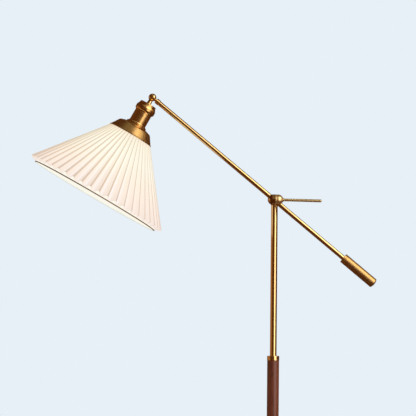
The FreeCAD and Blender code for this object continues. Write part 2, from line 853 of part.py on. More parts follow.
def make_holder():
    hex_nut(
        "neck_nut",
        "neck_nut_flats",
        "nipple_radius + running_gap",
        "cap_ceiling",
        "neck_nut_height",
        "XY_Plane",
        HEAD,
    )
    outline = [("neck_flare + seat_gap", "cap_top")]
    outline.append(("cap_top_radius - cap_groove", "cap_top"))
    for step in range(2):
        rim = f"cap_top_radius + {step} * cap_step_flare"
        start = f"cap_top + {step} * cap_step"
        outline.append((rim, f"{start} + cap_groove"))
        outline.append((f"{rim} + cap_step_flare / 2", f"{start} + cap_step - cap_groove"))
        outline.append((f"{rim} - cap_groove / 2", f"{start} + cap_step - cap_groove"))
        outline.append((f"{rim} - cap_groove / 2", f"{start} + cap_step"))
    outline += [
        ("cap_top_radius + 2 * cap_step_flare", "cap_top + 2 * cap_step", "-2 * cap_bead_radius / 3"),
        ("cap_bead_radius", "cap_bead_start"),
        ("cap_bead_radius", "cap_bead_end", "cap_bead_radius / 3"),
        ("cap_skirt_radius", "cap_end"),
        ("holder_thread_radius + running_gap", "cap_end"),
        ("holder_thread_radius + running_gap", "holder_top - cap_wall"),
        ("cap_inside", "holder_top - 2 * cap_wall"),
        ("cap_inside", "cap_ceiling"),
        ("neck_flare + seat_gap", "cap_ceiling"),
    ]
    turned("holder_cap", outline, "Z", HEAD)
    turned(
        "holder_shell",
        [
            ("holder_bore", "holder_top"),
            ("holder_thread_radius", "holder_top"),
            ("holder_thread_radius", "cap_end + seat_gap"),
            ("holder_radius", "cap_end + seat_gap"),
            ("holder_radius", "flange_top - flange_cove", "-flange_cove * 4 / 3"),
            ("flange_radius - seat_gap", "flange_top"),
            ("flange_radius", "flange_top + seat_gap"),
            ("flange_radius", "holder_end"),
            ("holder_bore", "holder_end"),
        ],
        "Z",
        HEAD,
    )
    core_radius = "holder_bore - seat_gap"
    core_bore = "screw_shell_radius + seat_gap"
    turned(
        "holder_core",
        [
            ("0", "core_top"),
            (core_radius, "core_top"),
            (core_radius, "holder_end + seat_gap / 2"),
            ("core_thread_radius", "holder_end + seat_gap / 2"),
            ("core_thread_radius", "core_end"),
            (core_bore, "core_end"),
            (core_bore, "core_floor"),
            ("0", "core_floor"),
        ],
        "Z",
        HEAD,
    )
    turned(
        "screw_shell",
        rectangle("screw_shell_radius - screw_shell_wall", "contact_top", "screw_shell_radius", "core_end"),
        "Z",
        HEAD,
    )
    turned("centre_contact", rectangle("0", "core_floor", "contact_radius", "contact_top"), "Z", HEAD)


def make_bulb():
    turned(
        "bulb_cap",
        [
            ("0", "bulb_tip"),
            ("contact_radius", "bulb_tip"),
            ("contact_radius", "bulb_tip + bulb_cap_nib"),
            ("bulb_cap_radius", "bulb_tip + 3 * bulb_cap_nib"),
            ("bulb_cap_radius", "bulb_cap_end"),
            ("0", "bulb_cap_end"),
        ],
        "Z",
        HEAD,
    )
    lean = "(bulb_neck + bulb_blend)"
    rise = "(bulb_centre - bulb_waist)"
    inner = "(bulb_radius - bulb_wall) / (bulb_radius + bulb_blend)"
    turned(
        "bulb_glass",
        [
            ("bulb_neck - bulb_wall", "bulb_cap_end"),
            ("bulb_neck", "bulb_cap_end"),
            ("bulb_neck", "bulb_waist", "-bulb_blend"),
            (f"{lean} * bulb_join", f"bulb_centre - {rise} * bulb_join", "bulb_radius"),
            ("0", "bulb_centre + bulb_radius"),
            ("0", "bulb_centre + bulb_radius - bulb_wall", "bulb_wall - bulb_radius"),
            (f"{lean} * {inner}", f"bulb_centre - {rise} * {inner}", "bulb_blend + bulb_wall"),
            ("bulb_neck - bulb_wall", "bulb_waist"),
        ],
        "Z",
        HEAD,
    )


# ---- Shade --------------------------------------------------------------------------------------


def make_fitter():
    skirt_lean = "(fitter_lip - fitter_shoulder) / (fitter_end - fitter_corner)"
    turned(
        "shade_fitter",
        [
            ("fitter_bore", "fitter_top"),
            ("fitter_seat", "fitter_top"),
            ("fitter_shoulder", "fitter_corner"),
            ("fitter_lip", "fitter_end"),
            ("fitter_lip - fitter_wall", "fitter_end"),
            (f"fitter_shoulder + ({skirt_lean} - 1) * fitter_wall", "fitter_corner + fitter_wall"),
            ("fitter_seat", "fitter_floor"),
            ("fitter_bore", "fitter_floor"),
        ],
        "Z",
        HEAD,
    )
    ring_bottom = "ring_top + ring_height"
    ring = turned(
        "shade_ring",
        rectangle("spider_bore", "ring_top", "ring_radius", ring_bottom),
        "Z",
        HEAD,
    )
    flute = new_sketch(ring, "XY_Plane", "ring_top")
    draw_circle(flute, "ring_radius", "0", "ring_flute_radius")
    around(ring, [pocket(ring, flute, "ring_height", True)], "ring_flutes")

    spider = turned(
        "shade_spider",
        rectangle("spider_bore", "spider_top", "spider_radius", "spider_bottom"),
        "Z",
        HEAD,
    )
    arm = new_sketch(spider, "XZ_Plane")
    draw_outline(
        arm,
        [
            ("spider_radius - spider_thickness", "spider_top + seat_gap"),
            ("spider_radius", "spider_top + seat_gap"),
            ("top_wire_ring + top_wire / 2", "top_wire_drop - top_wire / 2"),
            ("top_wire_ring - top_wire / 2", "top_wire_drop + top_wire / 2"),
            ("spider_radius - spider_thickness", "spider_bottom - seat_gap"),
        ],
    )
    blade = spider.newObject("PartDesign::Pad", "spider_blade")
    blade.Profile = arm
    blade.setExpression("Length", expand("spider_arm_width"))
    blade.Midplane = True
    around(spider, [blade], "spider_arms")
    turn(spider, [("top_wire_ring", "top_wire_drop", "top_wire")])


def pleat_point(slope, height, angle, sink):
    """A point of the pleated cloth, on a ray from the cone's apex sunk that far."""
    radius = slope * (height - value("pleat_apex") - sink)
    return FreeCAD.Vector(radius * math.cos(angle), radius * math.sin(angle), height)


def make_shade():
    """Cloth pleated so that each ridge leans over the next root, closed all round."""
    count = int(value("pleat_count"))
    pitch = 2 * math.pi / count
    lean = value("pleat_lean")
    ridge = (value("pleat_ridge_slope"), value("pleat_ridge_end"))
    root = (value("pleat_root_slope"), value("pleat_root_end"))
    top = value("pleat_top")
    rays = []
    for pleat in range(count):
        rays.append((root, -pleat * pitch))
        rays.append((ridge, -(pleat + lean) * pitch))

    def corners(ray, sink):
        (slope, end), angle = ray
        return pleat_point(slope, top, angle, sink), pleat_point(slope, end, angle, sink)

    faces = []
    for index, ray in enumerate(rays):
        following = rays[(index + 1) % len(rays)]
        loops = []
        for sink in (0, value("cloth / pleat_root_slope")):
            high, low = corners(ray, sink)
            next_high, next_low = corners(following, sink)
            loops.append((high, low, next_low, next_high))
        outer, inner = loops
        for loop in (outer, inner):
            faces.append(Part.Face(Part.makePolygon([*loop, loop[0]])))
        for end in ((0, 3), (1, 2)):
            across = Part.makeLine(outer[end[0]], outer[end[1]])
            beneath = Part.makeLine(inner[end[0]], inner[end[1]])
            faces.append(Part.makeRuledSurface(across, beneath))
    shell = Part.Shell(faces)
    cloth = Part.Solid(shell)
    if cloth.Volume < 0:
        cloth.reverse()
    shade = document.addObject("Part::Feature", "pleated_shade")
    shade.Label = "pleated_shade"
    shade.Shape = cloth
    shade.setExpression("Placement", expand(HEAD))


def make_liner():
    wide = "pleat_root_slope * (liner_end - pleat_apex)"
    narrow = "pleat_root_slope * (pleat_top - pleat_apex)"
    turned(
        "shade_liner",
        [
            (f"{narrow} - liner_offset", "pleat_top"),
            (f"{wide} - liner_offset", "liner_end"),
            (f"{wide} - liner_inset", "liner_end"),
            (f"{narrow} - liner_inset", "pleat_top"),
        ],
        "Z",
        HEAD,
    )
    turned("rim_wire", [("rim_wire_ring", "rim_wire_drop", "rim_wire")], "Z", HEAD)


def is_piece(thing):
    """Whether the object is a finished piece rather than a sketch or a feature of one."""
    return thing.TypeId in ("PartDesign::Body", "Part::Feature")


def write_parts():
    """Checks every object and writes each piece to its own file."""
    document.recompute()
    for thing in document.Objects:
        if {"Invalid", "Error"} & set(thing.State):
            raise ValueError(f"{thing.Label} has failed: {thing.State}")
    triangles = 0
    pieces = [thing for thing in document.Objects if is_piece(thing)]
    for piece in pieces:
        shape = piece.Shape
        if shape.isNull() or not shape.isValid() or not shape.Solids:
            raise ValueError(f"{piece.Label} has no valid solid")
        shape.exportStep(os.path.join("parts", piece.Label + ".step"))
        triangles += len(shape.tessellate(0.1)[1])
        print(piece.Label, len(shape.Solids), round(shape.Volume), shape.BoundBox)
    print(len(pieces), "pieces,", triangles, "triangles")


make_base()
make_column()
make_pole()
make_lever()
make_arm()
make_knuckle()
make_holder()
make_bulb()
make_fitter()
make_shade()
make_liner()
write_parts()
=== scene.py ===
import json
import math

import bmesh
import bpy
from bpy.props import FloatProperty, FloatVectorProperty, IntProperty, PointerProperty
from mathutils import Matrix, Vector


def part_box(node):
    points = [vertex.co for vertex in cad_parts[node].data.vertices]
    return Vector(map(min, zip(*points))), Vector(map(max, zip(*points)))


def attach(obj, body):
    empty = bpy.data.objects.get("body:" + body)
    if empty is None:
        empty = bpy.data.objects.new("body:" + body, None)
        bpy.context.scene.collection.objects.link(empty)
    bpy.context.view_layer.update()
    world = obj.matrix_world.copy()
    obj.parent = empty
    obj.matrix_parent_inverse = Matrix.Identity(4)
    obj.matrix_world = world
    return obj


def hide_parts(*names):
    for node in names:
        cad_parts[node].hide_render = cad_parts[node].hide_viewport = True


bl_info = {
    "name": "Bridge Floor Lamp",
    "version": (1, 0, 0),
    "blender": (4, 5, 0),
    "location": "3D View > Sidebar > Lamp",
    "description": "Finishes for a bridge floor lamp with a pleated shade and a walnut column",
    "category": "Object",
}

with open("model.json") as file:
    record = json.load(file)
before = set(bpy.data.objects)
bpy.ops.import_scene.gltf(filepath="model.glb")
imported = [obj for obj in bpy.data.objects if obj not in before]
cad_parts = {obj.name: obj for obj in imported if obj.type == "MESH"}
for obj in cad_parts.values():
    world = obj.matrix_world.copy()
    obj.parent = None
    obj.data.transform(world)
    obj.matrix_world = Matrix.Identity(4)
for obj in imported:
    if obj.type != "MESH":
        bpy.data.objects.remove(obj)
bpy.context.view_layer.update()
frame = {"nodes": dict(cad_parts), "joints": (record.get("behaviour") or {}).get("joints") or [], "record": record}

MM = 0.001
PIVOTS = {joint["name"]: Vector(joint["pos_m"]) for joint in frame["joints"]}
HUB = PIVOTS["arm_tilt"]
BALL = PIVOTS["head_tilt"]
KNOB = PIVOTS["lock_lever"]


def middle(node):
    """The middle of a CAD node's box."""
    low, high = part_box(node)
    return (low + high) / 2


def standing(origin, direction):
    """A place at the origin whose Z axis lies along the direction, turned about Y alone."""
    tilt = math.atan2(direction.x, direction.z)
    return Matrix.Translation(origin) @ Matrix.Rotation(tilt, 4, "Y")


FLOOR = Matrix.Identity(4)
ARM = standing(HUB, BALL - HUB)
HEAD = standing(BALL, middle("rim_wire") - BALL)
LEVER = standing(KNOB, middle("lever_rod") - KNOB)
PLACES = {"stand": FLOOR, "arm": ARM, "head": HEAD, "lever": LEVER}


def reach(node, place):
    """A CAD node's largest radius, lowest and highest height about a place's Z axis, in mm."""
    back = place.inverted()
    spots = [back @ vertex.co for vertex in frame["nodes"][node].data.vertices]
    radius = max(math.hypot(spot.x, spot.y) for spot in spots)
    heights = [spot.z for spot in spots]
    return radius / MM, min(heights) / MM, max(heights) / MM


# ---- Settings ---------------------------------------------------------------------------------


class LampShadeSettings(bpy.types.PropertyGroup):
    pleats: IntProperty(name="Pleats", description="Folds round the shade", default=48, min=12, max=96)
    lean: FloatProperty(
        name="Lean", description="How far over the next root each ridge is set",
        default=0.70, min=0.5, max=0.9
    )
    cloth: FloatProperty(
        name="Cloth", description="Thickness of the cloth", default=0.0007, unit="LENGTH", precision=5
    )
    glow: FloatProperty(
        name="Glow", description="Share of the shade's brightness that comes through it",
        default=0.82, min=0, max=1
    )
    cloth_colour: FloatVectorProperty(
        name="Cloth colour", description="Lit cloth half way down", subtype="COLOR",
        default=(1.0, 0.86, 0.68)
    )
    liner_colour: FloatVectorProperty(
        name="Liner colour", description="Lit liner seen from inside", subtype="COLOR",
        default=(1.0, 0.985, 0.87)
    )
    wire_colour: FloatVectorProperty(
        name="Rim wire colour", description="Lacquered wire at the rim", subtype="COLOR",
        default=(0.28, 0.13, 0.04)
    )


class LampMetalSettings(bpy.types.PropertyGroup):
    brass: FloatVectorProperty(
        name="Brass", description="Polished brass", subtype="COLOR", default=(0.88, 0.60, 0.25)
    )
    satin_brass: FloatVectorProperty(
        name="Satin brass", description="Brushed brass", subtype="COLOR", default=(0.62, 0.37, 0.135)
    )
    polish: FloatProperty(name="Polish", description="Roughness of polished brass",
        default=0.13, min=0, max=1)
    brushing: FloatProperty(name="Brushing", description="Roughness of brushed brass",
        default=0.30, min=0, max=1)


class LampStandSettings(bpy.types.PropertyGroup):
    walnut: FloatVectorProperty(
        name="Walnut", description="Oiled walnut", subtype="COLOR", default=(0.195, 0.041, 0.015)
    )
    edge: FloatProperty(
        name="Edge", description="Rounding left on turned edges",
        default=0.0003, unit="LENGTH", precision=5
    )


class LampStageSettings(bpy.types.PropertyGroup):
    backdrop: FloatVectorProperty(
        name="Backdrop", description="Backdrop and floor", subtype="COLOR",
        default=(0.799, 0.871, 0.930)
    )
    fill: FloatProperty(name="Fill", description="Light from all round", default=0.75, min=0)
    key: FloatProperty(name="Key", description="Power of the softbox",
        default=34.0, unit="POWER", min=0)
    distance: FloatProperty(name="Distance", description="Camera to lamp", default=5.0, unit="LENGTH")
    look_up: FloatProperty(
        name="Look up", description="How far the camera looks up",
        default=math.radians(3.5), subtype="ANGLE"
    )
    roll: FloatProperty(
        name="Roll", description="How far the camera is rolled",
        default=math.radians(0.57), subtype="ANGLE"
    )


# ---- Forms ------------------------------------------------------------------------------------


def smooth(piece, degrees=35):
    """Shades the piece smoothly, apart from its edges, and weights its normals by area."""
    piece.data.shade_smooth()
    piece.data.set_sharp_from_angle(angle=math.radians(degrees))
    weighted = piece.modifiers.new("Weighted normals", "WEIGHTED_NORMAL")
    weighted.keep_sharp = True


def settled(name, form, place, body, finish, stands_for):
    """Turns the form into a piece in its place, which rides on a body and stands for CAD nodes."""
    slot, material = finish
    mesh = bpy.data.meshes.new(name)
    form.transform(place)
    form.to_mesh(mesh)
    form.free()
    mesh.materials.append(material)
    piece = bpy.data.objects.new(name, mesh)
    bpy.context.scene.collection.objects.link(piece)
    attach(piece, body)
    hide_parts(*stands_for)
    return piece


def spun(form, steps, angle=math.tau, copies=False):
    """Spins the whole form about Z, into one skin or into copies."""
    bmesh.ops.spin(
        form,
        geom=form.verts[:] + form.edges[:] + form.faces[:],
        cent=(0, 0, 0),
        axis=(0, 0, 1),
        dvec=(0, 0, 0),
        angle=angle,
        steps=steps,
        use_merge=not copies,
        use_duplicate=copies,
    )


def joined(form, gap):
    """Joins corners that lie within the gap, and turns the faces outwards."""
    bmesh.ops.remove_doubles(form, verts=form.verts[:], dist=gap)
    bmesh.ops.recalc_face_normals(form, faces=form.faces[:])


def soften(form, ring, size):
    """Rounds the ring of edges that a corner of the outline left."""
    radius, height = ring[0] * MM, ring[1] * MM
    close = 1e-6

    def on_ring(vertex):
        across = math.hypot(vertex.co.x, vertex.co.y)
        return abs(across - radius) < close and abs(vertex.co.z - height) < close

    bmesh.ops.bevel(
        form,
        geom=[edge for edge in form.edges if all(on_ring(vertex) for vertex in edge.verts)],
        offset=size * MM,
        offset_type="OFFSET",
        segments=2 if size < 0.5 else 4 if size < 3 else 10,
        profile=0.5,
        affect="EDGES",
        clamp_overlap=True,
        material=-1,
    )


def turned(name, body, finish, stands_for, outline, steps=96):
    """Turns a piece from an outline of corners: radius, height and rounding, if any, in mm."""
    form = bmesh.new()
    corners = [form.verts.new((corner[0] * MM, 0, corner[1] * MM)) for corner in outline]
    for first, second in zip(corners, corners[1:] + corners[:1]):
        if first.co.x or second.co.x:
            form.edges.new((first, second))
    spun(form, steps)
    joined(form, 1e-7)
    for corner in outline:
        if len(corner) > 2:
            soften(form, corner, corner[2])
    smooth(settled(name, form, PLACES[body], body, finish, stands_for))


def curve(start, end, radius, steps=8):
    """Corners along an arc between two corners: anticlockwise where the radius is positive."""
    first, last = Vector(start), Vector(end)
    chord = last - first
    left = Vector((-chord.y, chord.x)).normalized()
    rise = math.sqrt(max(radius**2 - (chord.length / 2) ** 2, 0))
    centre = (first + last) / 2 + left * math.copysign(rise, radius)
    arm = first - centre
    swing = 2 * math.asin(min(1, chord.length / 2 / abs(radius)))
    turn = math.copysign(swing, radius)
    spots = []
    for step in range(steps + 1):
        spot = centre + Matrix.Rotation(turn * step / steps, 2) @ arm
        spots.append((spot.x, spot.y))
    return spots


def fettled(name, nodes, body, finish, edge):
    """A smooth, edge-softened piece made from merged copies of CAD nodes."""
    form = bmesh.new()
    for node in nodes:
        form.from_mesh(frame["nodes"][node].data)
    joined(form, 1e-6)
    flat = math.radians(0.3)
    bmesh.ops.dissolve_limit(form, angle_limit=flat, verts=form.verts[:], edges=form.edges[:])
    piece = settled(name, form, FLOOR, body, finish, nodes)
    if edge:
        bevel = piece.modifiers.new("Softened edges", "BEVEL")
        bevel.width = edge
        bevel.segments = 2
        bevel.limit_method = "ANGLE"
        bevel.angle_limit = math.radians(45)
        bevel.use_clamp_overlap = True
    smooth(piece)
    return piece


# ---- Finishes ---------------------------------------------------------------------------------


# Painted shade and painted light: the knob's darker and paler brass halves stand for the dark reflection and the
# lit side it shows.
SHADED_DARK_BRASS = (0.50, 0.25, 0.09)
LIT_PALE_BRASS = (0.95, 0.68, 0.34)
LEVER_BRASS = (0.86, 0.66, 0.33)
BLACK, WHITE = (0.0, 0.0, 0.0), (1.0, 1.0, 1.0)


class Nodes:
    """A node tree under construction, and short words for its nodes."""

    def __init__(self, tree):
        self.tree = tree

    def fill(self, socket, source):
        """Fills a socket with a value or with another node's output."""
        if isinstance(source, bpy.types.NodeSocket):
            self.tree.links.new(source, socket)
        else:
            socket.default_value = source

    def add(self, kind, sources=None, **settings):
        """A node with its settings and its filled sockets."""
        node = self.tree.nodes.new(kind)
        for key, setting in settings.items():
            setattr(node, key, setting)
        for socket, source in (sources or {}).items():
            self.fill(node.inputs[socket], source)
        return node

    def spread(self, source, low, high, start=0.0, end=1.0):
        """Maps a value from start..end to low..high."""
        return self.add(
            "ShaderNodeMapRange",
            {"Value": source, "From Min": start, "From Max": end, "To Min": low, "To Max": high},
        ).outputs[0]

    def blend(self, amount, first, second, mode="MIX"):
        return self.add(
            "ShaderNodeMix", {0: amount, 6: first, 7: second}, data_type="RGBA", blend_type=mode
        ).outputs[2]

    def times(self, first, second):
        """One colour multiplied by another."""
        return self.blend(1.0, first, second, "MULTIPLY")

    def math(self, operation, *sources):
        return self.add("ShaderNodeMath", dict(enumerate(sources)), operation=operation).outputs[0]

    def vector(self, operation, *sources):
        return self.add("ShaderNodeVectorMath", dict(enumerate(sources)), operation=operation).outputs


class Recipe(Nodes):
    """A material under construction."""

    def __init__(self, name):
        self.material = bpy.data.materials.new(name)
        self.material.use_nodes = True
        super().__init__(self.material.node_tree)
        self.shader = self.tree.nodes["Principled BSDF"]
        self.object = self.add("ShaderNodeTexCoord").outputs["Object"]

    def set(self, **sockets):
        """Fills the shader's own sockets."""
        for name, source in sockets.items():
            self.fill(self.shader.inputs[name.replace("_", " ")], source)

    def show(self, surface):
        """Makes another shader than the recipe's own the material's surface."""
        self.fill(self.tree.nodes["Material Output"].inputs["Surface"], surface)

    def stretched(self, vector, scale):
        return self.add("ShaderNodeMapping", {"Vector": vector, "Scale": scale}).outputs[0]

    def placed(self, place, scale):
        """Object coordinates seen from a place, stretched by the scale."""
        moved = self.add(
            "ShaderNodeMapping",
            {"Vector": self.object, "Location": place.translation, "Rotation": place.to_euler()},
            vector_type="TEXTURE",
        )
        return self.stretched(moved.outputs[0], scale)

    def noise(self, vector, scale, detail=3.0, roughness=0.5, distortion=0.0):
        sources = {
            "Vector": vector,
            "Scale": scale,
            "Detail": detail,
            "Roughness": roughness,
            "Distortion": distortion,
        }
        return self.add("ShaderNodeTexNoise", sources).outputs["Fac"]

    def ramp(self, source, stops):
        node = self.add("ShaderNodeValToRGB", {"Fac": source})
        elements = node.color_ramp.elements
        while len(elements) < len(stops):
            elements.new(1.0)
        for element, (spot, colour) in zip(elements, stops):
            element.position = spot
            element.color = (*colour, 1)
        return node.outputs["Color"]

    def bump(self, height, strength, distance):
        sources = {"Height": height, "Strength": strength, "Distance": distance}
        self.set(Normal=self.add("ShaderNodeBump", sources).outputs[0])


def tinted(colour, share):
    """A colour made lighter or darker."""
    return tuple(min(1.0, channel * share) for channel in colour)


def rgba(colour):
    return (*tuple(colour)[:3], 1.0)


def polished(name, colour, polish, place=FLOOR):
    """Lacquered polished metal, with faint turning lines, hand marks and tarnish."""
    recipe = Recipe(name)
    marks = recipe.noise(recipe.object, 34.0, 4.0, 0.55)
    lines = recipe.noise(recipe.placed(place, (9.0, 9.0, 2400.0)), 1.0, 2.0)
    tarnish = recipe.noise(recipe.object, 9.0, 5.0, 0.6)
    worn = recipe.spread(marks, polish - 0.03, polish + 0.04)
    recipe.set(
        Metallic=1.0,
        Base_Color=recipe.ramp(tarnish, [(0.3, tinted(colour, 0.88)), (0.7, tinted(colour, 1.03))]),
        Roughness=recipe.math("ADD", worn, recipe.spread(lines, -0.01, 0.02)),
    )
    recipe.bump(lines, 0.012, 0.00002)
    return recipe.material


def brushed(name, colour, brushing, place, round_scale=14.0, along=1500.0):
    """Metal brushed round its axis: fine streaks in colour, roughness and bump."""
    recipe = Recipe(name)
    fine = recipe.noise(recipe.placed(place, (round_scale, round_scale, along)), 1.0, 3.0, 0.6)
    broad = recipe.noise(recipe.placed(place, (round_scale / 2, round_scale / 2, along / 2)), 1.0, 2.0)
    marks = recipe.noise(recipe.object, 26.0, 4.0)
    streaks = recipe.blend(0.45, recipe.ramp(fine, [(0.25, BLACK), (0.75, WHITE)]), broad)
    rubbed = recipe.spread(streaks, brushing - 0.06, brushing + 0.08)
    recipe.set(
        Metallic=1.0,
        Base_Color=recipe.ramp(streaks, [(0.2, tinted(colour, 0.80)), (0.8, tinted(colour, 1.08))]),
        Roughness=recipe.math("ADD", rubbed, recipe.spread(marks, -0.02, 0.03)),
    )
    recipe.bump(streaks, 0.22, 0.00005)
    return recipe.material


def oiled_walnut(name, colour):
    """Walnut turned along its grain: long dark figure, fine pores and a low oil sheen."""
    recipe = Recipe(name)
    figure = recipe.noise(recipe.placed(FLOOR, (75.0, 75.0, 2.6)), 1.0, 5.0, 0.62, 0.6)
    grain = recipe.noise(recipe.placed(FLOOR, (420.0, 420.0, 9.0)), 1.0, 3.0, 0.6)
    pores = recipe.noise(recipe.placed(FLOOR, (1500.0, 1500.0, 55.0)), 1.0, 2.0, 0.5)
    open_pores = recipe.spread(pores, 0.0, 1.0, 0.30, 0.46)
    tones = ((0.28, 0.60), (0.45, 0.85), (0.58, 1.15), (0.75, 1.45))
    body = recipe.ramp(figure, [(spot, tinted(colour, tone)) for spot, tone in tones])
    veins = recipe.ramp(grain, [(0.3, tinted(colour, 0.5)), (0.7, tinted(colour, 1.5))])
    veined = recipe.blend(0.4, body, veins)
    recipe.set(
        Base_Color=recipe.blend(open_pores, rgba(tinted(colour, 0.3)), veined),
        Roughness=recipe.spread(grain, 0.33, 0.50),
        IOR=1.47,
        Coat_Weight=0.35,
        Coat_Roughness=recipe.spread(figure, 0.24, 0.34),
    )
    relief = recipe.math("ADD", recipe.math("MULTIPLY", open_pores, 0.6), grain)
    recipe.bump(relief, 0.25, 0.00012)
    return recipe.material


def plain(name, colour, roughness, metallic=0.0, grain=900.0, depth=0.00006, contrast=0.12):
    """A plain finish with a little mottle in its colour, and a fine grain in roughness and bump."""
    recipe = Recipe(name)
    mottle = recipe.noise(recipe.object, 45.0, 4.0, 0.6)
    fine = recipe.noise(recipe.object, grain, 2.0)
    recipe.set(
        Metallic=metallic,
        Base_Color=recipe.ramp(
            mottle, [(0.3, tinted(colour, 1 - contrast)), (0.7, tinted(colour, 1 + contrast / 2))]
        ),
        Roughness=recipe.spread(fine, roughness - 0.05, roughness + 0.05),
    )
    recipe.bump(fine, 0.25, depth)
    return recipe.material


def lit_cloth(name, colour, glow):
    """Pleated cloth lit from inside: the bulb's light through it is painted in as emission, with painted light and
    shade along and across the folds. U runs across one fold and V down it.
    """
    recipe = Recipe(name)
    uv = recipe.add("ShaderNodeUVMap", uv_map="Cloth").outputs[0]
    split = recipe.add("ShaderNodeSeparateXYZ", {0: uv})
    across, down = split.outputs[0], split.outputs[1]
    # Painted light down each fold: darker and warmer right under the fitter, brightest and yellowest near the
    # bulb, dimmer and peach towards the rim.
    face = recipe.ramp(
        down,
        [
            (0.0, (1.0, 0.86, 0.66)),
            (0.12, (1.0, 0.96, 0.80)),
            (0.36, (1.0, 0.98, 0.84)),
            (0.62, (1.0, 0.915, 0.78)),
            (0.80, (0.98, 0.86, 0.77)),
            (1.0, (0.93, 0.81, 0.74)),
        ],
    )
    root = recipe.ramp(
        down,
        [
            (0.0, (0.82, 0.68, 0.50)),
            (0.15, (0.95, 0.87, 0.72)),
            (0.36, (1.0, 1.0, 0.93)),
            (0.65, (1.0, 0.96, 0.97)),
            (1.0, (0.97, 0.93, 0.96)),
        ],
    )
    # Painted light: the cloth at the roots, where it lies against the lit liner, takes the whiter root colours.
    root_light_mask = recipe.ramp(
        across, [(0.0, WHITE), (0.16, (0.35,) * 3), (0.34, BLACK), (0.92, BLACK), (1.0, (0.8,) * 3)]
    )
    # Painted shade: a darker line along each ridge, where the fold's edge lies double and in its own shadow.
    ridge_shade_mask = recipe.ramp(across, [(0.60, BLACK), (0.675, WHITE), (0.725, WHITE), (0.79, BLACK)])
    warmed = recipe.blend(0.22, face, rgba(colour))
    base = recipe.blend(root_light_mask, warmed, root)
    ridge = recipe.blend(0.75, base, rgba((0.66, 0.55, 0.45)), "MULTIPLY")
    warp = recipe.noise(recipe.stretched(uv, (60.0, 900.0, 1.0)), 1.0, 2.0)
    slubs = recipe.noise(recipe.stretched(uv, (5.0, 70.0, 1.0)), 1.0, 3.0)
    cloudy = recipe.noise(recipe.object, 16.0, 3.0)
    shown = recipe.blend(ridge_shade_mask, base, ridge)
    shown = recipe.times(shown, recipe.ramp(slubs, [(0.25, (0.95,) * 3), (0.7, WHITE)]))
    shown = recipe.times(shown, recipe.ramp(cloudy, [(0.3, (0.965,) * 3), (0.7, WHITE)]))
    # Painted light: the side of the shade towards the softbox is made cooler and whiter.
    sideways = recipe.add("ShaderNodeSeparateXYZ", {0: recipe.object}).outputs[0]
    softbox_side = recipe.spread(sideways, 0.0, 1.0, BALL.x - 0.05, BALL.x + 0.06)
    shown = recipe.blend(softbox_side, shown, recipe.times(shown, (0.955, 0.945, 0.99, 1)))
    recipe.set(
        Base_Color=recipe.times(shown, rgba((1 - glow,) * 3)),
        Emission_Color=shown,
        Emission_Strength=glow + 0.06,
        Roughness=recipe.spread(warp, 0.78, 0.92),
        Specular_IOR_Level=0.2,
    )
    recipe.bump(warp, 0.3, 0.00008)
    return recipe.material


def lit_film(name, colour, glow):
    """A smooth lit film with faint fibres, its light painted in as emission, and a deeper, warmer painted light
    near its narrow end, by the bulb.
    """
    recipe = Recipe(name)
    fibres = recipe.noise(recipe.placed(HEAD, (160.0, 160.0, 40.0)), 1.0, 4.0)
    cloudy = recipe.noise(recipe.object, 20.0, 3.0)
    split = recipe.add("ShaderNodeSeparateXYZ", {0: recipe.placed(HEAD, (1.0, 1.0, 1.0))})
    # Painted light: warmer and yellower near the narrow end, by the bulb, turning to the liner's own colour
    # towards the rim.
    shade = recipe.ramp(
        recipe.spread(split.outputs[2], 0.0, 1.0, 0.08, 0.24),
        [(0.0, (0.95, 0.88, 0.68)), (0.45, tuple(colour)), (1.0, tinted(colour, 0.98))],
    )
    shown = recipe.times(shade, recipe.ramp(cloudy, [(0.3, (0.97,) * 3), (0.7, WHITE)]))
    recipe.set(
        Base_Color=recipe.times(shown, rgba((1 - glow,) * 3)),
        Emission_Color=shown,
        Emission_Strength=glow,
        Roughness=recipe.spread(fibres, 0.45, 0.62),
    )
    recipe.bump(fibres, 0.15, 0.00008)
    return recipe.material


def lit_wire(name, colour, lit_colour):
    """Lacquered wire whose inner side, towards the head's axis, catches the lamp's light."""
    recipe = Recipe(name)
    spot = recipe.placed(HEAD, (1.0, 1.0, 0.0))
    outward = recipe.vector("NORMALIZE", spot)[0]
    upright = recipe.add("ShaderNodeTexCoord").outputs["Normal"]
    turned_back = recipe.add(
        "ShaderNodeMapping", {"Vector": upright, "Rotation": HEAD.to_euler()}, vector_type="TEXTURE"
    ).outputs[0]
    facing = recipe.vector("DOT_PRODUCT", turned_back, outward)["Value"]
    lit = recipe.spread(facing, 1.0, 0.0, -0.5, 0.25)
    fine = recipe.noise(recipe.object, 1200.0, 2.0)
    recipe.set(
        Base_Color=recipe.blend(lit, rgba(colour), rgba(tinted(lit_colour, 0.4))),
        Emission_Color=recipe.blend(lit, rgba(BLACK), rgba(tinted(lit_colour, 0.55))),
        Emission_Strength=1.0,
        Roughness=recipe.spread(fine, 0.32, 0.45),
    )
    recipe.bump(fine, 0.2, 0.00003)
    return recipe.material


# ---- Pieces -----------------------------------------------------------------------------------


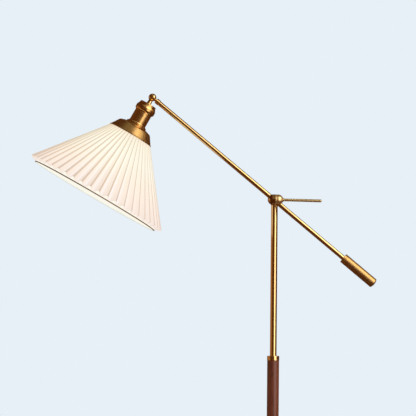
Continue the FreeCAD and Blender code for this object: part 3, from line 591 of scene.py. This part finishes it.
class LAMP_OT_stand_metal(bpy.types.Operator):
    """Turn the base cover, foot collar, coupling, column cap and pole"""

    bl_idname = "lamp.stand_metal"
    bl_label = "Base and Pole"

    def execute(self, context):
        metal = context.scene.lamp_metal
        edge = context.scene.lamp_stand.edge / MM
        satin = "satin_brass", brushed("BrushedBrassUpright", metal.satin_brass, metal.brushing, FLOOR)
        bright = "polished_brass", polished("PolishedBrassUpright", metal.brass, metal.polish)

        radius, foot, top = reach("base_cover", FLOOR)
        collar, collar_foot, collar_top = reach("foot_collar", FLOOR)
        turned("base_shell", "stand", satin, ["base_cover"], [
            (5.2, top),
            (collar + 3, top),
            (radius, top - 3.2, 7),
            (radius, foot, edge),
            (radius - 1.2, foot, edge),
            (radius - 1.2, top - 4.4, 5.8),
            (collar + 3, top - 1.2),
            (5.2, top - 1.2),
        ], 160)
        column = reach("upper_column", FLOOR)[0]
        cove_top = collar_foot + 16
        turned("collar_turning", "stand", satin, ["foot_collar"], [
            (5.2, collar_foot),
            (collar, collar_foot, edge),
            (collar, collar_foot + 3, edge),
            *curve((collar - 0.6, collar_foot + 3), (column + 2.2, cove_top), -15, 12),
            (column + 2.2, collar_top, 2 * edge),
            (column + 0.1, collar_top, edge),
            (column + 0.1, collar_foot + 6),
            (5.2, collar_foot + 6),
        ])
        band, low, high = reach("column_coupling", FLOOR)
        band_low, band_high = reach("lower_column", FLOOR)[2], reach("upper_column", FLOOR)[1]
        turned("coupling_turning", "stand", bright, ["column_coupling"], [
            (5.2, low),
            (8.0, low, edge),
            (8.0, band_low),
            (band, band_low, edge),
            (band, (band_low + band_high) / 2 - 0.5, edge / 2),
            (band - 0.35, (band_low + band_high) / 2, edge / 2),
            (band, (band_low + band_high) / 2 + 0.5, edge / 2),
            (band, band_high, edge),
            (8.0, band_high),
            (8.0, high, edge),
            (5.2, high),
        ])
        cap, cap_low, cap_high = reach("column_cap", FLOOR)
        pole, pole_low, pole_high = reach("pole_tube", FLOOR)
        turned("column_ferrule", "stand", bright, ["column_cap"], [
            (pole + 0.1, cap_low),
            (cap, cap_low, edge),
            (cap, cap_low + 1.4, edge / 2),
            (cap - 0.3, cap_low + 1.7, edge / 3),
            (cap, cap_low + 2.0, edge / 2),
            (cap, cap_high, 1.2),
            (pole + 0.1, cap_high, edge),
        ])
        turned("pole_turning", "stand", bright, ["pole_tube"], [
            (pole - 1, pole_low),
            (pole, pole_low),
            (pole, pole_high, edge / 2),
            (pole - 1, pole_high),
        ])
        fettled("pole_head_casting", ["pole_head"], "stand", bright, 0.0003)
        return {"FINISHED"}


class LAMP_OT_walnut_column(bpy.types.Operator):
    """Turn the two lengths of the walnut column"""

    bl_idname = "lamp.walnut_column"
    bl_label = "Walnut Column"

    def execute(self, context):
        stand = context.scene.lamp_stand
        walnut = "walnut", oiled_walnut("OiledWalnut", stand.walnut)
        bore = 8.2
        for name, node in (("lower_walnut", "lower_column"), ("upper_walnut", "upper_column")):
            radius, low, high = reach(node, FLOOR)
            turned(name, "stand", walnut, [node], [
                (bore, low),
                (radius, low, 0.5),
                (radius, high, 0.5),
                (bore, high),
            ])
        return {"FINISHED"}


class LAMP_OT_arm(bpy.types.Operator):
    """Turn the arm's two tubes, its hub, ferrule and counterweight"""

    bl_idname = "lamp.arm"
    bl_label = "Arm and Counterweight"

    def execute(self, context):
        metal = context.scene.lamp_metal
        edge = context.scene.lamp_stand.edge / MM
        bright = "polished_brass", polished("PolishedBrassArm", metal.brass, metal.polish, ARM)
        dull = metal.brushing + 0.06
        satin = "satin_brass", brushed("BrushedBrassWeight", metal.satin_brass, dull, ARM)
        for name, node in (("long_tube", "upper_arm"), ("short_tube", "lower_arm")):
            radius, low, high = reach(node, ARM)
            turned(name, "arm", bright, [node], [
                (radius - 1, low),
                (radius, low, edge / 2),
                (radius, high, edge / 2),
                (radius - 1, high),
            ])
        radius, end, start = reach("counterweight", ARM)
        tube = reach("lower_arm", ARM)[0] + 0.05
        dome_edge, dome = radius - 0.8, 2.2
        crown = (dome_edge**2 + dome**2) / (2 * dome)
        turned("balance_weight", "arm", satin, ["counterweight"], [
            (tube, start - 29),
            (0, start - 29),
            *curve((0, end), (dome_edge, end + dome), crown, 8),
            (radius, end + dome + 0.8, 0.5),
            (radius, start - 5.2, edge / 3),
            (radius - 0.45, start - 4.9, edge / 4),
            (radius - 0.45, start - 4.2, edge / 4),
            (radius, start - 3.9, edge / 3),
            (radius, start, 0.6),
            (tube, start, edge),
        ])
        fettled("arm_hub_casting", ["arm_hub"], "arm", bright, 0.0003)
        fettled("arm_ball", ["arm_knuckle"], "arm", bright, 0.00015)
        return {"FINISHED"}


class LAMP_OT_lever(bpy.types.Operator):
    """Finish the clamp knob in two finishes, a darker brass with painted shade and a paler brass with painted
    light, and turn its lever
    """

    bl_idname = "lamp.lever"
    bl_label = "Lever Knob"

    def part_finish(self, piece, across, finish):
        """Parts the piece at a plane across X, and gives what lies beyond it another finish."""
        form = bmesh.new()
        form.from_mesh(piece.data)
        bmesh.ops.bisect_plane(
            form,
            geom=form.verts[:] + form.edges[:] + form.faces[:],
            dist=1e-6,
            plane_co=(across, 0, 0),
            plane_no=(1, 0, 0),
        )
        piece.data.materials.append(finish)
        for face in form.faces:
            face.material_index = 1 if face.calc_center_median().x > across else 0
        form.to_mesh(piece.data)
        form.free()

    def execute(self, context):
        metal = context.scene.lamp_metal
        beyond_middle = 0.0006
        round_scale, knob_lines, rod_lines = 30.0, 900.0, 1800.0
        # Polished and satin halves whose colours are painted light: the darker brass is painted shade, the paler
        # brass painted light.
        dark = polished("ShadedDarkBrassKnob", SHADED_DARK_BRASS, metal.polish + 0.10, LEVER)
        pale = brushed(
            "SatinBrassSocket", LIT_PALE_BRASS, metal.brushing + 0.06, LEVER, round_scale, knob_lines
        )
        soft = brushed(
            "SatinBrassLever", LEVER_BRASS, metal.brushing + 0.10, LEVER, round_scale, rod_lines
        )
        knob = fettled("knob_cap", ["clamp_knob"], "lever", ("polished_brass", dark), 0.0003)
        self.part_finish(knob, KNOB.x + beyond_middle, pale)
        fettled("knob_socket", ["lever_socket"], "lever", ("satin_brass", pale), 0.00025)
        radius, low, high = reach("lever_rod", LEVER)
        slim = radius - 0.3
        turned("lever_turning", "lever", ("satin_brass", soft), ["lever_rod"], [
            (0, low),
            (slim, low),
            (slim, low + 13.6),
            (radius - 0.05, high - radius - 1.2),
            (radius, high - radius),
            *curve((radius, high - radius), (0, high), radius, 10)[1:],
        ], 64)
        return {"FINISHED"}


class LAMP_OT_holder(bpy.types.Operator):
    """Turn the ribbed cap, the lamp holder and its flange"""

    bl_idname = "lamp.holder"
    bl_label = "Lamp Holder"

    def execute(self, context):
        metal = context.scene.lamp_metal
        edge = context.scene.lamp_stand.edge / MM
        bright = "polished_brass", polished("PolishedBrassHead", metal.brass, metal.polish + 0.03, HEAD)
        light = tinted(metal.satin_brass, 1.28)
        satin = "satin_brass", brushed("BrushedBrassHolder", light, metal.brushing - 0.05, HEAD)
        crisp = "polished_brass", brushed("BrushedBrassCap", light, metal.brushing - 0.09, HEAD)
        fettled("head_ball", ["head_knuckle"], "head", bright, 0.00015)
        bead, top, end = reach("holder_cap", HEAD)
        crown = bead - 3.9
        ribs = []
        for step in range(2):
            rim, start = crown + step * 0.9, top + step * 2.9
            ribs += [
                (rim, start + 0.3, 0.3),
                (rim + 0.45, start + 1.9, 0.35),
                (rim - 1.0, start + 2.0, 0.1),
                (rim - 1.0, start + 2.9, 0.1),
            ]
        turned("ribbed_cap", "head", crisp, ["holder_cap"], [
            (5.4, top),
            (crown - 0.8, top, 0.3),
            *ribs,
            *curve((crown + 1.8, top + 5.8), (bead, top + 10.3), -14, 6),
            (bead, top + 11.4, edge / 3),
            (bead - 0.8, top + 11.65, edge / 3),
            (bead - 0.8, top + 12.35, edge / 3),
            (bead, top + 12.5, edge / 3),
            *curve((bead, top + 13.7), (bead - 2.0, end), 7.4, 6),
            (bead - 3.7, end, edge),
            (bead - 3.7, end - 7.5),
            (crown - 1.5, end - 9),
            (crown - 1.5, top + 1.5),
            (5.4, top + 1.5),
        ], 128)
        flange, low, high = reach("holder_shell", HEAD)
        barrel, thread, bore = flange - 3.9, flange - 4.6, flange - 5.5
        turned("holder_barrel", "head", satin, ["holder_shell"], [
            (bore, low),
            (thread, low, edge / 2),
            (thread, end + 0.1),
            (barrel, end + 0.1, edge),
            (barrel, end + 2.4, edge / 3),
            (barrel - 0.4, end + 2.7, edge / 3),
            (barrel - 0.4, end + 3.3, edge / 3),
            (barrel, end + 3.6, edge / 3),
            *curve((barrel, high - 6.8), (flange - 0.1, high - 2.8), -5.3, 8),
            (flange, high - 2.7, edge / 3),
            (flange, high, edge),
            (bore, high, edge),
        ], 128)
        return {"FINISHED"}


class LAMP_OT_fitter(bpy.types.Operator):
    """Spin the bell-shaped fitter over the top of the shade"""

    bl_idname = "lamp.fitter"
    bl_label = "Shade Fitter"

    def execute(self, context):
        metal = context.scene.lamp_metal
        edge = context.scene.lamp_stand.edge / MM
        round_scale, lines = 8.0, 2200.0
        satin = "satin_brass", brushed(
            "BrushedBrassFitter", metal.satin_brass, metal.brushing + 0.02, HEAD, round_scale, lines
        )
        lip, top, end = reach("shade_fitter", HEAD)
        turned("fitter_bell", "head", satin, ["shade_fitter"], [
            (lip - 29.4, top),
            (lip - 24.8, top, 2 * edge),
            (lip - 13.1, top + 4.0, 2.2),
            (lip - 1.6, end - 2.6, 0.5),
            (lip, end - 2.0, 0.4),
            (lip, end, 0.35),
            (lip - 1.0, end, 0.25),
            (lip - 2.4, end - 2.3, 0.3),
            (lip - 13.8, top + 5.0, 1.4),
            (lip - 24.8, top + 1.0),
            (lip - 29.4, top + 1.0),
        ], 160)
        fettled("shade_ring_turning", ["shade_ring"], "head", satin, 0.0002)
        fettled("shade_frame", ["shade_spider"], "head", satin, 0.0)
        return {"FINISHED"}


class LAMP_OT_pleated_shade(bpy.types.Operator):
    """Fold the pleated cloth: leaning knife pleats on a cone, closed all round"""

    bl_idname = "lamp.pleated_shade"
    bl_label = "Pleated Shade"

    def execute(self, context):
        settings = context.scene.lamp_shade
        apex, top = 31.2, 84.0
        ridge_slope, root_slope = 0.7796, 0.700
        ridge_end, root_end = 232.5, 237.9
        face_bow, back_bow, curl = 0.075, 0.05, 2.5
        waver = 0.00012
        pitch, lean, rows = math.tau / settings.pleats, settings.lean, 12
        face = (0.0, 0.06, 0.16, 0.30, 0.44, 0.56, 0.645, 0.685)
        stops = (*face, 0.70, 0.715, 0.745, 0.81, 0.90, 0.96, 1.0)

        def fold(share):
            """How far from root to ridge the cloth stands at a share of the pleat."""
            face = share / lean if share <= lean else (1 - share) / (1 - lean)
            bow = face_bow if share <= lean else back_bow
            return min(1.0, max(0.0, face - bow * math.sin(math.tau * face)))

        form = bmesh.new()
        cloth_map = form.loops.layers.uv.new("Cloth")
        across = form.verts.layers.float.new("across")
        down = form.verts.layers.float.new("down")
        line = []
        for share in stops:
            slope = root_slope + fold(share) * (ridge_slope - root_slope)
            angle = -share * pitch
            radius = slope * (top - apex) * MM
            vertex = form.verts.new((radius * math.cos(angle), radius * math.sin(angle), top * MM))
            vertex[across] = share
            line.append(vertex)
        edges = [form.edges.new(pair) for pair in zip(line, line[1:])]
        for row in range(1, rows + 1):
            grown = bmesh.ops.extrude_edge_only(form, edges=edges)["geom"]
            edges = [item for item in grown if isinstance(item, bmesh.types.BMEdge)]
            for vertex in [item for item in grown if isinstance(item, bmesh.types.BMVert)]:
                share = vertex[across]
                height = fold(share)
                end = root_end - (root_end - ridge_end) * height**curl
                drop = top + (end - top) * row / rows
                angle = -share * pitch
                slope = root_slope + height * (ridge_slope - root_slope)
                radius = slope * (drop - apex) * MM
                vertex.co = (radius * math.cos(angle), radius * math.sin(angle), drop * MM)
                vertex[down] = row / rows
        for face in form.faces:
            for loop in face.loops:
                loop[cloth_map].uv = (loop.vert[across], loop.vert[down])
        spun(form, settings.pleats - 1, math.tau - pitch, copies=True)
        bmesh.ops.remove_doubles(form, verts=form.verts[:], dist=1e-6)
        for vertex in form.verts:
            angle = math.atan2(vertex.co.y, vertex.co.x)
            sway = math.sin(angle * 11 + 1.3) + 0.7 * math.sin(angle * 17 + 0.4)
            vertex.co += Vector((math.cos(angle), math.sin(angle), 0)) * sway * waver * vertex[down]
        bmesh.ops.recalc_face_normals(form, faces=form.faces[:])
        area = sum(face.calc_area() for face in form.faces)
        finish = "shade_cloth", lit_cloth("LitCloth", settings.cloth_colour, settings.glow)
        piece = settled("pleated_cloth", form, HEAD, "head", finish, ["pleated_shade"])
        wall = piece.modifiers.new("Cloth thickness", "SOLIDIFY")
        wall.thickness = settings.cloth
        wall.offset = -1
        smooth(piece, 50)
        return {"FINISHED"}


class LAMP_OT_liner_and_bulb(bpy.types.Operator):
    """Roll the liner, bend its rim wire and blow the opal bulb"""

    bl_idname = "lamp.liner_and_bulb"
    bl_label = "Liner and Bulb"

    def execute(self, context):
        settings = context.scene.lamp_shade
        liner = "liner_film", lit_film("LitLiner", settings.liner_colour, 0.95)
        radius, top, end = reach("shade_liner", HEAD)
        narrow = radius - 0.7 * (end - top)
        turned("lit_liner", "head", liner, ["shade_liner"], [
            (narrow, top),
            (radius, end, 0.2),
            (radius - 0.8, end, 0.2),
            (narrow - 0.8, top),
        ], 192)
        colours = settings.wire_colour, settings.liner_colour
        wire = "rim_brown", lit_wire("LacqueredWire", *colours)
        ring, low, high = reach("rim_wire", HEAD)
        form = bmesh.new()
        half = (high - low) / 2
        bmesh.ops.create_circle(form, cap_ends=False, segments=14, radius=half * MM)
        upright = Matrix.Rotation(math.pi / 2, 3, "X")
        spot = (ring - half) * MM, 0, (low + high) / 2 * MM
        bmesh.ops.rotate(form, verts=form.verts[:], cent=(0, 0, 0), matrix=upright)
        bmesh.ops.translate(form, verts=form.verts[:], vec=spot)
        spun(form, 192)
        joined(form, 1e-7)
        smooth(settled("rim_wire_ring", form, HEAD, "head", wire, ["rim_wire"]))
        glass = plain("OpalGlass", (0.95, 0.93, 0.88), 0.2, 0.0, 300.0, 0.00002, 0.03)
        glowing = glass.node_tree.nodes["Principled BSDF"].inputs
        glowing["Emission Color"].default_value = (1.0, 0.985, 0.93, 1)
        glowing["Emission Strength"].default_value = 1.4
        opal = "opal_glass", glass
        fettled("opal_bulb", ["bulb_glass"], "head", opal, 0.0)
        return {"FINISHED"}


class LAMP_OT_small_parts(bpy.types.Operator):
    """Finish the pads, washers, nuts, screws, porcelain and the cord gland"""

    bl_idname = "lamp.small_parts"
    bl_label = "Small Parts"

    def execute(self, context):
        metal = context.scene.lamp_metal
        finishes = {
            "polished_brass": polished("PolishedBrassSmall", metal.brass, metal.polish),
            "satin_brass": brushed("BrushedBrassSmall", metal.satin_brass, metal.brushing, HEAD),
            "cast_brass": plain("CastBrass", metal.satin_brass, 0.42, 1.0),
            "zinc_steel": plain("BrightZinc", (0.62, 0.62, 0.60), 0.32, 1.0),
            "iron_weight": plain("CastIron", (0.055, 0.055, 0.06), 0.72, 0.3, 700.0, 0.0002, 0.3),
            "foot_pad": plain("FeltPad", (0.03, 0.03, 0.033), 0.95, 0.0, 1400.0, 0.0003, 0.3),
            "gland_rubber": plain("GlandRubber", (0.028, 0.027, 0.026), 0.62),
            "nylon": plain("Nylon", (0.72, 0.70, 0.64), 0.42),
            "porcelain": plain("GlazedPorcelain", (0.86, 0.84, 0.79), 0.16, 0.0, 500.0, 0.00003, 0.05),
            "bulb_aluminium": plain("BulbCap", (0.72, 0.72, 0.73), 0.28, 1.0),
        }
        kinds = {
            "base_pad": "foot_pad",
            "base_weight": "iron_weight",
            "cord_gland": "gland_rubber",
            "base_washer": "zinc_steel",
            "base_nut": "zinc_steel",
            "tie_rod": "zinc_steel",
            "pole_bush": "nylon",
            "rear_washer": "nylon",
            "front_washer": "nylon",
            "knuckle_washer": "nylon",
            "pivot_bolt": "polished_brass",
            "knuckle_nut": "polished_brass",
            "knuckle_screw": "polished_brass",
            "neck_nut": "zinc_steel",
            "holder_core": "porcelain",
            "screw_shell": "cast_brass",
            "centre_contact": "cast_brass",
            "bulb_cap": "bulb_aluminium",
        }
        large = ("cord_gland", "pivot_bolt", "holder_core", "base_pad")
        bodies = frame["record"]["behaviour"]["bodies"]
        body_of = {node: name for name, nodes in bodies.items() for node in nodes}
        for node, kind in kinds.items():
            edge = 0.0003 if node in large else 0.00012
            fettled(node + "_finish", [node], body_of[node], (kind, finishes[kind]), edge)
        return {"FINISHED"}


# ---- Stage ------------------------------------------------------------------------------------


FILL_SIDE = (0.85, -0.35, 0.40)
FILL_COLOUR = (1.0, 0.985, 0.96, 1)
FLOOR_RADIUS = 5.5
FLOOR_FADE = (0.8, 4.2)
CARD_RING = ((0.2, 0.10), (3.6, 0.04), (3.6, 3.4), (0.1, 4.2))
CARD_MIDDLE = (0, 0, 1.3)
DARK_CARD, WARM_CARD = (0.10, 0.036, 0.010, 1), (0.46, 0.24, 0.10, 1)
STRIP_CARD, BRIGHT_CARD = (0.30, 0.28, 0.20, 1), (1.6, 1.5, 1.25, 1)
LEFT, UPPER_FRONT, UPPER_RIGHT = (-0.93, 0.20, -0.30), (0.0, -0.38, 0.92), (0.795, -0.348, 0.497)
SOFTBOX_COLOUR = (1.0, 0.97, 0.90)
SOFTBOX_SIZE, SOFTBOX_AWAY = (1.8, 3.0), 2.2
SOFTBOX_ACROSS, SOFTBOX_UP = math.radians(40), math.radians(16)
SOFTBOX_AIM = Vector((0, 0, 1.35))
CAMERA_AIM = Vector((-0.140, -0.0193, 1.2625))
SENSOR_WIDTH, PICTURE_WIDTH = 36.0, 0.8736


class LAMP_OT_stage(bpy.types.Operator):
    """Set the floor, the pale backdrop, the softbox, the studio cards and the camera"""

    bl_idname = "lamp.stage"
    bl_label = "Stage and Camera"

    def execute(self, context):
        stage = context.scene.lamp_stage
        self.light_world(context, stage)
        self.lay_floor(context, stage)
        self.hang_cards(context)
        self.set_softbox(context, stage)
        self.set_camera(context, stage)
        context.scene.view_settings.view_transform = "Standard"
        return {"FINISHED"}

    def light_world(self, context, stage):
        """A fill that is strongest from one side, and a backdrop for camera, mirror and glass."""
        world = context.scene.world or bpy.data.worlds.new("Studio")
        context.scene.world = world
        world.use_nodes = True
        nodes = Nodes(world.node_tree)
        nodes.tree.nodes.clear()
        path = nodes.add("ShaderNodeLightPath").outputs
        seen = nodes.math("MAXIMUM", path["Is Camera Ray"], path["Is Glossy Ray"])
        seen = nodes.math("MAXIMUM", seen, path["Is Transmission Ray"])
        way = nodes.add("ShaderNodeTexCoord").outputs["Generated"]
        side = nodes.vector("DOT_PRODUCT", way, FILL_SIDE)["Value"]
        share = nodes.math("POWER", nodes.spread(side, 0.2, 1.0, -1.0, 1.0), 2.2)
        shade = nodes.blend(share, rgba(BLACK), FILL_COLOUR)
        fill = nodes.add("ShaderNodeBackground", {"Color": shade, "Strength": stage.fill})
        backdrop = nodes.add("ShaderNodeBackground", {"Color": rgba(stage.backdrop), "Strength": 1.0})
        mix = nodes.add("ShaderNodeMixShader", {0: seen, 1: fill.outputs[0], 2: backdrop.outputs[0]})
        nodes.add("ShaderNodeOutputWorld", {0: mix.outputs[0]})

    def stand(self, context, name, form, recipe):
        """Puts a form on the stage in a recipe's material."""
        mesh = bpy.data.meshes.new(name)
        form.to_mesh(mesh)
        form.free()
        mesh.materials.append(recipe.material)
        prop = bpy.data.objects.new(name, mesh)
        context.scene.collection.objects.link(prop)
        return prop

    def lay_floor(self, context, stage):
        """A floor that keeps the lamp's shadow, fades into the backdrop, and is clear from below."""
        form = bmesh.new()
        bmesh.ops.create_circle(
            form, cap_ends=True, cap_tris=False, segments=96, radius=FLOOR_RADIUS
        )
        recipe = Recipe("PaleFloor")
        far = recipe.spread(recipe.vector("LENGTH", recipe.object)["Value"], 0.62, 1.0, *FLOOR_FADE)
        grain = recipe.noise(recipe.object, 240.0, 3.0)
        tones = [(0.2, tinted(stage.backdrop, 0.93)), (0.8, tuple(stage.backdrop))]
        recipe.set(
            Base_Color=recipe.ramp(grain, tones),
            Roughness=recipe.spread(grain, 0.7, 0.85),
            Specular_IOR_Level=0.2,
        )
        recipe.bump(grain, 0.08, 0.0002)
        path = recipe.add("ShaderNodeLightPath").outputs
        seen = recipe.math("MAXIMUM", path["Is Camera Ray"], path["Is Glossy Ray"])
        share = recipe.math("MULTIPLY", far, seen)
        backdrop = recipe.add("ShaderNodeEmission", {"Color": rgba(stage.backdrop), "Strength": 1.0})
        fade = recipe.add(
            "ShaderNodeMixShader", {0: share, 1: recipe.shader.outputs[0], 2: backdrop.outputs[0]}
        )
        clear = recipe.add("ShaderNodeBsdfTransparent")
        under = recipe.add("ShaderNodeNewGeometry").outputs["Backfacing"]
        sides = recipe.add("ShaderNodeMixShader", {0: under, 1: fade.outputs[0], 2: clear.outputs[0]})
        recipe.show(sides.outputs[0])
        floor = self.stand(context, "studio_floor", form, recipe)

    def hang_cards(self, context):
        """A ring of cards that only metal reflects: dark, with a warm one and two bright ones."""
        form = bmesh.new()
        spots = [form.verts.new((0, -radius, height)) for radius, height in CARD_RING]
        for pair in zip(spots, spots[1:]):
            form.edges.new(pair)
        spun(form, 60)
        recipe = Recipe("StudioCards")
        from_lamp = recipe.vector("SUBTRACT", recipe.object, CARD_MIDDLE)[0]
        way = recipe.vector("NORMALIZE", from_lamp)[0]

        def towards(direction, start, end):
            share = recipe.vector("DOT_PRODUCT", way, direction)["Value"]
            return recipe.spread(share, 0.0, 1.0, start, end)

        right, up = (1.0, 0.0, 0.0), (0.0, 0.0, 1.0)
        left = recipe.math("MULTIPLY", towards(LEFT, 0.60, 0.95), towards(up, -1.1, 0.05))
        narrow = recipe.math("MULTIPLY", towards(right, 0.22, 0.12), towards(right, -0.22, -0.12))
        strip = recipe.math("MULTIPLY", towards(UPPER_FRONT, 0.55, 0.70), narrow)
        shown = recipe.blend(left, DARK_CARD, WARM_CARD)
        shown = recipe.blend(strip, shown, STRIP_CARD)
        shown = recipe.blend(towards(UPPER_RIGHT, 0.88, 0.94), shown, BRIGHT_CARD)
        recipe.show(recipe.add("ShaderNodeEmission", {"Color": shown, "Strength": 1.0}).outputs[0])
        cards = self.stand(context, "studio_cards", form, recipe)
        cards.visible_camera = False
        cards.visible_diffuse = False
        cards.visible_transmission = False
        cards.visible_shadow = False
        cards.visible_volume_scatter = False

    def set_softbox(self, context, stage):
        light = bpy.data.lights.new("softbox", "AREA")
        light.shape = "RECTANGLE"
        light.size, light.size_y = SOFTBOX_SIZE
        light.energy = stage.key
        light.color = SOFTBOX_COLOUR
        softbox = bpy.data.objects.new("softbox", light)
        context.scene.collection.objects.link(softbox)
        level = math.cos(SOFTBOX_UP)
        way = Vector(
            (math.sin(SOFTBOX_ACROSS) * level, -math.cos(SOFTBOX_ACROSS) * level, math.sin(SOFTBOX_UP))
        )
        softbox.location = SOFTBOX_AIM + way * SOFTBOX_AWAY
        softbox.rotation_euler = way.to_track_quat("Z", "Y").to_euler()
        softbox.visible_camera = False

    def set_camera(self, context, stage):
        camera = bpy.data.cameras.new("camera")
        view = bpy.data.objects.new("camera", camera)
        context.scene.collection.objects.link(view)
        camera.sensor_width = SENSOR_WIDTH
        camera.lens = SENSOR_WIDTH * stage.distance / PICTURE_WIDTH
        camera.clip_start, camera.clip_end = 0.1, 60.0
        ahead = Vector((0, math.cos(stage.look_up), math.sin(stage.look_up)))
        view.matrix_world = (
            Matrix.Translation(CAMERA_AIM - ahead * stage.distance)
            @ Matrix.Rotation(math.pi / 2 + stage.look_up, 4, "X")
            @ Matrix.Rotation(stage.roll, 4, "Z")
        )
        context.scene.camera = view


# ---- Panel ------------------------------------------------------------------------------------

PIECES = (
    LAMP_OT_stand_metal,
    LAMP_OT_walnut_column,
    LAMP_OT_arm,
    LAMP_OT_lever,
    LAMP_OT_holder,
    LAMP_OT_fitter,
    LAMP_OT_liner_and_bulb,
    LAMP_OT_pleated_shade,
    LAMP_OT_small_parts,
    LAMP_OT_stage,
)

SETTINGS = {
    "lamp_shade": LampShadeSettings,
    "lamp_metal": LampMetalSettings,
    "lamp_stand": LampStandSettings,
    "lamp_stage": LampStageSettings,
}


class LAMP_PT_pieces(bpy.types.Panel):
    """Lists the lamp's pieces and settings"""

    bl_idname = "LAMP_PT_pieces"
    bl_label = "Bridge Floor Lamp"
    bl_space_type = "VIEW_3D"
    bl_region_type = "UI"
    bl_category = "Lamp"

    def draw(self, context):
        for name, group in SETTINGS.items():
            box = self.layout.box()
            settings = getattr(context.scene, name)
            for key in group.__annotations__:
                box.prop(settings, key)
        for piece in PIECES:
            self.layout.operator(piece.bl_idname)


CLASSES = (*SETTINGS.values(), *PIECES, LAMP_PT_pieces)


def register():
    for kind in CLASSES:
        bpy.utils.register_class(kind)
    for name, group in SETTINGS.items():
        setattr(bpy.types.Scene, name, PointerProperty(type=group))


def unregister():
    for name in SETTINGS:
        delattr(bpy.types.Scene, name)
    for kind in reversed(CLASSES):
        bpy.utils.unregister_class(kind)


def main():
    register()
    for piece in PIECES:
        family, action = piece.bl_idname.split(".")
        getattr(getattr(bpy.ops, family), action)()


if __name__ == "__main__":
    main()
